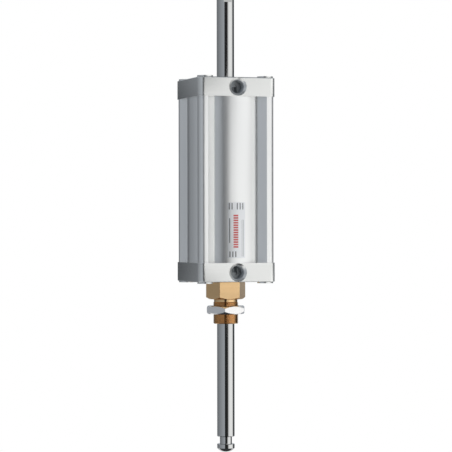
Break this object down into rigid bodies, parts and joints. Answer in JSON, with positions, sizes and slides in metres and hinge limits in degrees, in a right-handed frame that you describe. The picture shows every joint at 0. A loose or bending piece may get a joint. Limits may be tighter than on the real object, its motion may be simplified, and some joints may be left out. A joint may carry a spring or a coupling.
{
  "type": "through-rod pneumatic cylinder",
  "caption": "Double-acting pneumatic cylinder with square profile barrel, through piston rod, side air ports and a brass panel gland with lock nut.",
  "frame": {"origin": "on the rod axis, in the plane of the gland's shoulder that rests against the panel", "axes": "+Z along the rod towards the barrel and the upper rod; both air ports face -Y; at rest the rod is fully down"},
  "size_m": [0.114, 0.114, 0.6626],
  "materials": {
    "barrel": "clear anodised extrusion, satin",
    "cap": "milled and clear anodised, fine satin",
    "screw": "zinc-plated steel",
    "gland": "turned brass, satin",
    "nut": "nickel-plated steel, bright",
    "rod": "hard-chromed and polished steel",
    "o_ring": "black nitrile rubber",
    "lip_seal": "green polyurethane",
    "bush": "sintered bronze",
    "guide": "filled PTFE tape",
    "piston": "turned aluminium",
    "magnet": "plastic-bonded ferrite",
    "bumper": "black polyurethane rubber"
  },
  "bodies": {
    "cylinder_body": {"barrel": "barrel", "lower_cap": "cap", "upper_cap": "cap", "lower_tie_screws": "screw", "upper_tie_screws": "screw", "lower_barrel_seal": "o_ring", "upper_barrel_seal": "o_ring", "gland": "gland", "gland_seal": "o_ring", "lower_rod_bush": "bush", "lower_rod_seal": "lip_seal", "lower_rod_wiper": "lip_seal", "upper_rod_bush": "bush", "upper_rod_seal": "lip_seal", "upper_rod_wiper": "lip_seal"},
    "piston_rings": {"guide_ring": "guide", "lower_piston_seal": "lip_seal", "upper_piston_seal": "lip_seal"},
    "piston_rod": {"lower_rod": "rod", "upper_rod": "rod", "lower_piston_half": "piston", "upper_piston_half": "piston", "magnet_ring": "magnet", "stud_seal": "o_ring", "lower_bumper": "bumper", "upper_bumper": "bumper"},
    "lock_nut": {"lock_nut": "nut"}
  },
  "joints": [
    {"name": "rod_stroke", "type": "slide", "parent": "cylinder_body", "child": "piston_rings", "axis": [0, 0, 1], "range_m": [0, 0.16]},
    {"name": "rod_turn", "type": "hinge", "parent": "piston_rings", "child": "piston_rod", "pos_m": [0, 0, 0.09], "axis": [0, 0, 1], "continuous": true},
    {"name": "nut_travel", "type": "slide", "parent": "cylinder_body", "child": "lock_nut", "axis": [0, 0, 1], "range_m": [-0.0138, 0.0092]}
  ]
}
